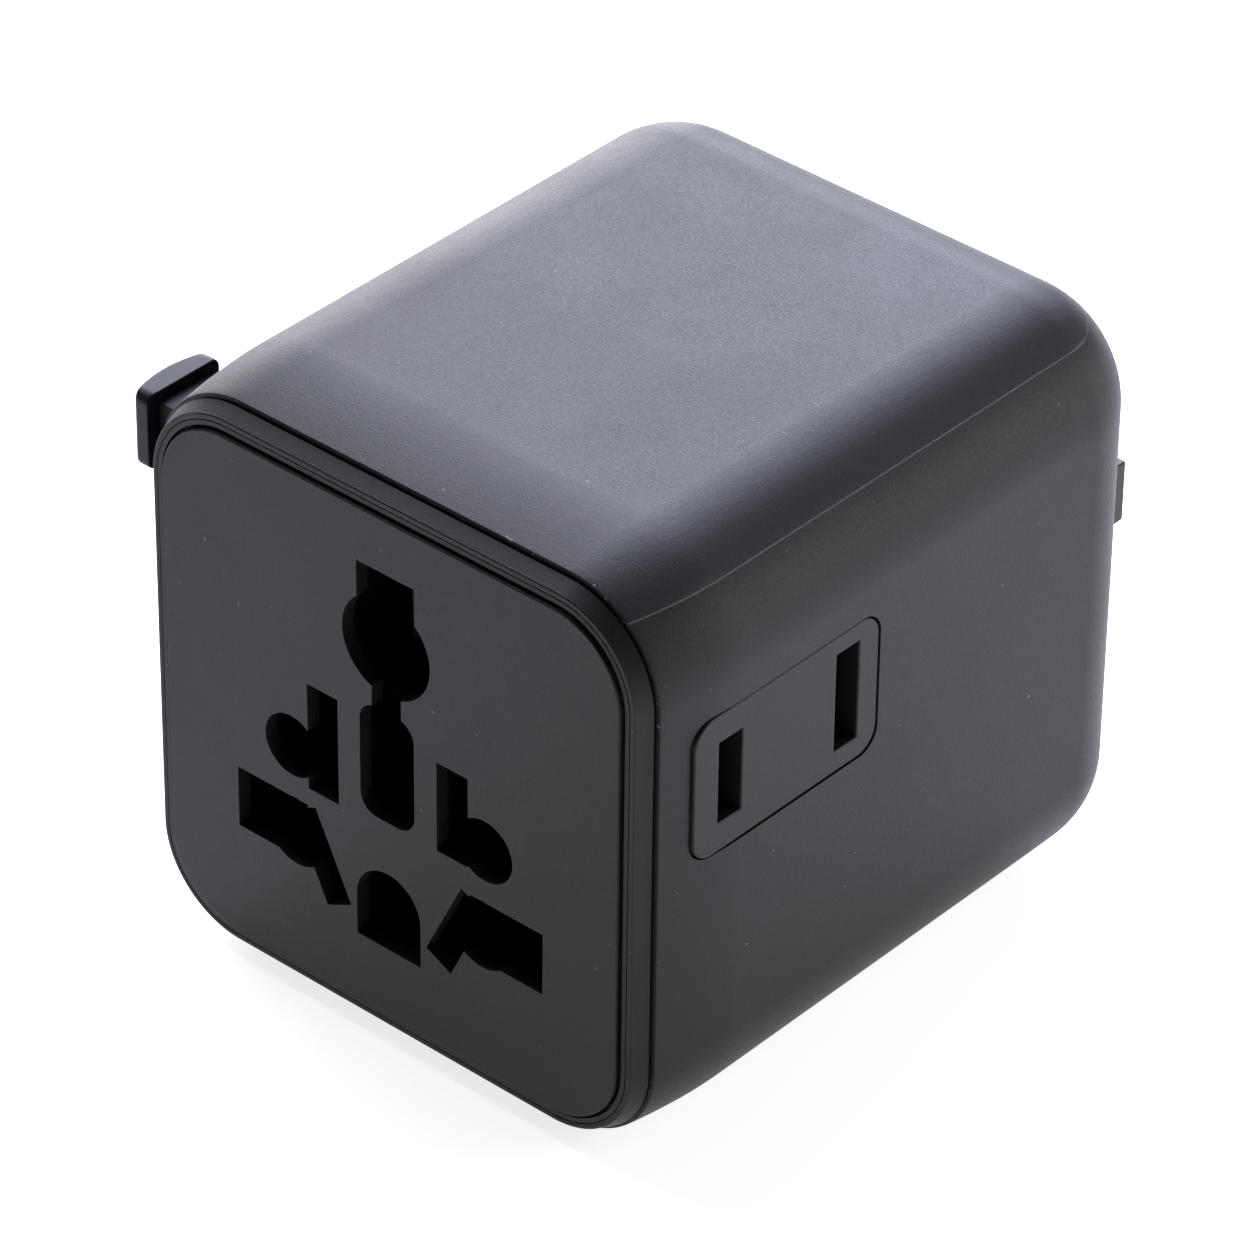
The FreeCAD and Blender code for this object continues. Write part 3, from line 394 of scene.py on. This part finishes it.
CHARCOAL = (0.0090, 0.0083, 0.0103)
# A near-black painted shade for the carrier's deep wells, not the plastic's own colour.
PAINTED_WELL_SHADE = (0.0012, 0.0012, 0.0013)
MATERIALS = {
    "shell": moulded_plastic("charcoal_shell", CHARCOAL, 0.52, grain=0.7, dust=0.7, parted=True),
    "plate": moulded_plastic("charcoal_plate", CHARCOAL, 0.50, grain=0.5, dust=0.6),
    "insert": moulded_plastic("charcoal_insert", CHARCOAL, 0.50, grain=0.5, dust=0.6),
    "knob": moulded_plastic("charcoal_knob", CHARCOAL, 0.46, grain=0.18, dust=0.3, ior=1.26),
    # The contact carrier is charcoal plastic, and its wells are darkened with painted shade.
    "carrier": moulded_plastic("carrier_with_painted_shade", CHARCOAL, 0.5, grain=0.1, painted_shade=PAINTED_WELL_SHADE),
    "slider": moulded_plastic("black_slider", (0.004, 0.004, 0.004), 0.5, grain=0.1, ior=1.3),
    "drawer": moulded_plastic("black_drawer", (0.008, 0.008, 0.008), 0.45, grain=0.2),
    "sleeve": moulded_plastic("black_sleeve", (0.010, 0.010, 0.010), 0.35, grain=0.08),
    "brass": metal("stamped_brass", (0.30, 0.27, 0.22), 0.34, (0.16, 0.13, 0.10)),
    "plated_brass": metal("nickel_plate", (0.70, 0.69, 0.66), 0.24, (0.52, 0.49, 0.44)),
    "steel": metal("bright_steel", (0.60, 0.60, 0.61), 0.26, (0.44, 0.43, 0.42)),
    "ceramic_fuse": fuse_body(),
}


def paint(piece, slot):
    piece.data.materials.clear()
    piece.data.materials.append(MATERIALS[slot])


# ---------------------------------------------------------------- casing


def shell_rings():
    """The casing's section, walked from its front edge over the outside, the rear and back inside."""
    front = BODY_LOW.y
    lip = 0.08 * MM
    rings = []
    first_half = BODY_HALF - SWELL
    first_corner = BODY_CORNER - SWELL
    for step in range(4):
        turn = math.radians(30 * step)
        inset = lip * (1 - math.sin(turn))
        rings.append((first_half - inset, first_corner - inset, front + lip * (1 - math.cos(turn))))
    for step in range(1, 13):
        share = step / 12
        out = SWELL * (1 - (1 - share) ** SWELL_EASE)
        rings.append((first_half + out, first_corner + out, front + lip + SWELL_LONG * share))
    for step in range(33):
        turn = math.radians(90 * step / 32)
        inset = REAR_ROUND * (1 - math.cos(turn))
        rings.append((BODY_HALF - inset, BODY_CORNER - inset, REAR_Y - REAR_ROUND * (1 - math.sin(turn))))
    hole = COVER_HIGH.x + COVER_GAP
    inner_rear = COVER_LOW.y
    rings += [(hole, COVER_CORNER, REAR_Y), (hole, COVER_CORNER, inner_rear)]
    inner_round = REAR_ROUND - WALL
    for step in range(9):
        turn = math.radians(90 - 90 * step / 8)
        inset = inner_round * (1 - math.cos(turn))
        rings.append((BODY_HALF - WALL - inset, BODY_CORNER - WALL - inset,
                      inner_rear - inner_round * (1 - math.sin(turn))))
    rings.append((BODY_HALF - WALL, BODY_CORNER - WALL, front + 2 * lip))
    rings.append((BODY_HALF - WALL - lip, BODY_CORNER - WALL - lip, front))
    return [rounded_square(*ring) for ring in rings]


def gate_cutters():
    """The three lanes in the left wall and the slot that joins them."""
    lane_y = (CAP_LOW.y + CAP_HIGH.y) / 2
    lane_z = (CAP_LOW.z + CAP_HIGH.z) / 2
    reach = next(joint["range_m"][1] for joint in frame["joints"] if joint["name"] == "selector_slide")
    outside, inside = -BODY_HALF - PAST, -BODY_HALF + WALL + PAST
    front = lane_y - LANE_HALF_Y
    cutters = [block("lane_cross", (outside, front, lane_z - 2 * LANE_STEP - LANE_HALF_Z),
                     (inside, lane_y + LANE_HALF_Y, lane_z + LANE_HALF_Z))]
    for lane in range(3):
        level = lane_z - lane * LANE_STEP
        cutters.append(block("lane", (outside, front, level - LANE_HALF_Z),
                             (inside, lane_y + reach + LANE_HALF_Y, level + LANE_HALF_Z)))
    return cutters


def build_casing():
    """Both shells, cut from one form at the parting plane."""
    insert_gap = 0.12 * MM
    window = side_prism("window", (INSERT_Y[0] - insert_gap, INSERT_Z[0] - insert_gap),
                        (INSERT_Y[1] + insert_gap, INSERT_Z[1] + insert_gap), INSERT_CORNER,
                        (BODY_HALF - WALL - PAST, BODY_HALF + PAST))
    drawer_low, drawer_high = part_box("fuse_drawer")
    gap = 0.15 * MM
    drawer_hole = block("drawer_hole", (drawer_low.x - gap, REAR_Y - REAR_ROUND - PAST, drawer_low.z - gap),
                        (drawer_high.x + gap, REAR_Y + PAST, drawer_high.z + gap))
    far = 40 * MM
    for node, low_z, high_z in (("main_shell", -far, PARTING_Z), ("top_shell", PARTING_Z, 2 * far)):
        shell = loft(node + "_moulding", shell_rings(), closed=True)
        if node == "main_shell":
            cut_with(shell, gate_cutters())
            cut_with(shell, [window, drawer_hole])
        cut_with(shell, [block("half", (-far, -far, low_z), (far, far, high_z))], "INTERSECT")
        stand_in(softened(shell, 0.05 * MM, 2, 40), node)
        paint(shell, "shell")


def build_front_frame():
    """The ring around the socket face: a flat front, a slope out to the shells, a skirt inside them."""
    front = FRAME_LOW.y
    half, corner = FRAME_HIGH.x, 8.0 * MM
    front_half = 23.3 * MM
    mouth, mouth_corner = 22.78 * MM, 6.98 * MM
    back = FACE_Y + 1.75 * MM
    step = FACE_Y + 2.3 * MM
    skirt, skirt_corner = 23.1 * MM, 7.5 * MM
    throat, throat_corner = 21.6 * MM, 5.9 * MM
    lip, turn_in = 0.06 * MM, 0.18 * MM
    slope = half - front_half
    rings = [(mouth, mouth_corner, step), (mouth, mouth_corner, front + lip),
             (mouth + lip, mouth_corner + lip, front)]
    for part in range(7):
        inset = turn_in * (1 - part / 6) ** 2
        rings.append((front_half - inset, corner - slope - inset, front + turn_in * (part / 6) ** 2))
    rings += [(half - lip, corner - lip, back - 2 * lip), (half, corner, back - lip),
              (half - lip, corner - lip, back),
              (skirt, skirt_corner, back), (skirt, skirt_corner, FRAME_HIGH.y),
              (throat, throat_corner, FRAME_HIGH.y), (throat, throat_corner, step)]
    ring = loft("front_frame_moulding", [rounded_square(*values) for values in rings], closed=True)
    stand_in(softened(ring, 0.02 * MM, 1, 60), "front_frame")
    paint(ring, "shell")


def build_knob_cap():
    """A thumb cap whose outer face is crowned from front to rear."""
    mid_y, mid_z = (CAP_LOW.y + CAP_HIGH.y) / 2, (CAP_LOW.z + CAP_HIGH.z) / 2
    half_y, half_z = (CAP_HIGH.y - CAP_LOW.y) / 2, (CAP_HIGH.z - CAP_LOW.z) / 2
    inner_x, outer_x = CAP_HIGH.x, CAP_LOW.x
    crown = 0.75 * MM
    corner = 0.8 * MM
    edge = 0.35 * MM
    lip = 0.12 * MM
    profile = [(lip, inner_x, 0.0), (0.3 * lip, inner_x - 0.3 * lip, 0.0), (0.0, inner_x - lip, 0.0)]
    for step in range(7):
        turn = math.radians(15 * step)
        profile.append((edge * (1 - math.cos(turn)), outer_x + crown + edge * (1 - math.sin(turn)), 1.0))
    profile += [(inset * MM, outer_x + crown, 1.0) for inset in (0.5, 0.9, 1.4, 2.0, 2.6, 3.1)]
    outline = []
    arc_steps, long_steps = 12, 16
    narrowing_half_z = half_z - 0.01 * MM
    for quarter, (sy, sz) in enumerate(((1, 1), (-1, 1), (-1, -1), (1, -1))):
        base_y, base_z = sy * (half_y - corner), sz * (half_z - corner)
        for step in range(arc_steps + 1):
            angle = math.radians(90 * (quarter + step / arc_steps))
            outline.append((base_y, base_z, math.cos(angle), math.sin(angle)))
        if quarter % 2 == 0:
            outline += [(base_y * (1 - 2 * part / long_steps), base_z, 0.0, sz)
                        for part in range(1, long_steps)]
    rings = []
    for inset, x, bulge in profile:
        ring = []
        for base_y, base_z, out_y, out_z in outline:
            if inset > corner:
                y = (base_y + corner * out_y) * (1 - inset / half_y)
                z = (base_z + corner * out_z) * (1 - inset / narrowing_half_z)
            else:
                y = base_y + (corner - inset) * out_y
                z = base_z + (corner - inset) * out_z
            ring.append(Vector((x - bulge * crown * (1 - (y / half_y) ** 2), mid_y + y, mid_z + z)))
        rings.append(ring)
    cap = softened(loft("knob_cap_moulding", rings), 0.01 * MM, 1, 70)
    stand_in(cap, "knob_cap")
    paint(cap, "knob")


build_casing()
build_front_frame()
build_knob_cap()

# How far the edges of each visible node are rounded, in millimetres.
EDGES = {
    "socket_plate": 0.22, "side_outlet_insert": 0.15, "rear_cover": 0.15, "contact_carrier": 0.08,
    "knob_stem": 0.12, "fuse_drawer": 0.15, "uk_neutral_pin": 0.35, "uk_line_pin": 0.35,
    "uk_earth_pin": 0.35, "us_left_blade": 0.25, "us_right_blade": 0.25, "uk_carriage": 0.15,
    "eu_carriage": 0.15, "us_carriage": 0.15, "eu_left_pin": 0.5, "eu_right_pin": 0.5, "pusher": 0.15,
}
for node, width in EDGES.items():
    piece = finished(node, width * MM, 2 if width < 0.3 else 4)
    paint(piece, slot_of(node))

for name, thing in NODES.items():
    if not thing.hide_render:
        paint(thing, slot_of(name))

# ---------------------------------------------------------------- floor, light and camera


def build_floor():
    """A white floor that glows a little, so that the shadow on it stays faint."""
    bm = bmesh.new()
    reach = 3.0
    for x, y in ((-1, -1), (1, -1), (1, 1), (-1, 1)):
        bm.verts.new((reach * x, reach * y, 0))
    bm.faces.new(bm.verts)
    floor = new_piece("floor", bm, smooth=False)
    nodes = Nodes("pale_floor")
    nodes.shader.inputs["Base Color"].default_value = (0.92, 0.92, 0.92, 1)
    nodes.shader.inputs["Roughness"].default_value = 0.9
    nodes.shader.inputs["Specular IOR Level"].default_value = 0.0
    nodes.shader.inputs["Emission Color"].default_value = (1, 1, 1, 1)
    nodes.shader.inputs["Emission Strength"].default_value = 0.78
    floor.data.materials.append(nodes.material)


def soft_light(name, place, size, radiance, colour):
    """A square soft light that faces the object; its face has the given radiance."""
    lamp = bpy.data.lights.new(name, "AREA")
    lamp.shape = "SQUARE"
    lamp.size = size
    lamp.energy = radiance * math.pi * size * size
    lamp.color = colour
    thing = bpy.data.objects.new(name, lamp)
    thing.location = place
    thing.rotation_euler = (BODY_MIDDLE - Vector(place)).to_track_quat("-Z", "Y").to_euler()
    bpy.context.scene.collection.objects.link(thing)


def build_world():
    world = bpy.data.worlds.new("studio")
    world.use_nodes = True
    background = world.node_tree.nodes["Background"]
    background.inputs["Color"].default_value = (1, 1, 1, 1)
    background.inputs["Strength"].default_value = 0.07
    bpy.context.scene.world = world


# Name, place, size, radiance and colour of each light.
LIGHTS = (
    ("near_back_light", (-0.22, 0.40, 0.36), 0.35, 15.5, (0.76, 0.80, 1.0)),
    ("left_back_light", (-0.85, 0.70, 0.22), 0.6, 10.3, (0.92, 0.92, 1.0)),
    ("right_light", (0.40, 0.42, 0.14), 0.25, 6.3, (1.0, 0.95, 0.97)),
    ("right_back_light", (0.65, 0.70, 0.55), 0.6, 2.2, (0.9, 0.93, 1.0)),
    ("left_top_light", (-0.62, 0.06, 0.92), 0.5, 6.5, (0.9, 0.93, 1.0)),
)

build_floor()
build_world()
bpy.context.scene.view_settings.view_transform = "Standard"
for values in LIGHTS:
    soft_light(*values)


def build_camera():
    """A long lens to the right of the socket face and above it, fitted to the casing's corners."""
    turn, rise, roll = math.radians(41.05), math.radians(35.18), math.radians(0.746)
    aside, below, away = -17.097 * MM, -10.773 * MM, 503.617 * MM
    back = Vector((math.sin(turn) * math.cos(rise), -math.cos(turn) * math.cos(rise), math.sin(rise)))
    level = Vector((math.cos(turn), math.sin(turn), 0))
    upright = back.cross(level)
    right = math.cos(roll) * level + math.sin(roll) * upright
    up = math.cos(roll) * upright - math.sin(roll) * level
    lens = bpy.data.cameras.new("camera")
    lens.sensor_width = 36
    lens.lens = 201.9
    lens.clip_start = 0.01
    camera = bpy.data.objects.new("camera", lens)
    face_middle = Vector((0, FACE_Y, MIDDLE_Z))
    turned = Matrix((right, up, back)).transposed().to_4x4()
    camera.matrix_world = Matrix.Translation(face_middle - right * aside - up * below + back * away) @ turned
    bpy.context.scene.collection.objects.link(camera)
    bpy.context.scene.camera = camera


build_camera()
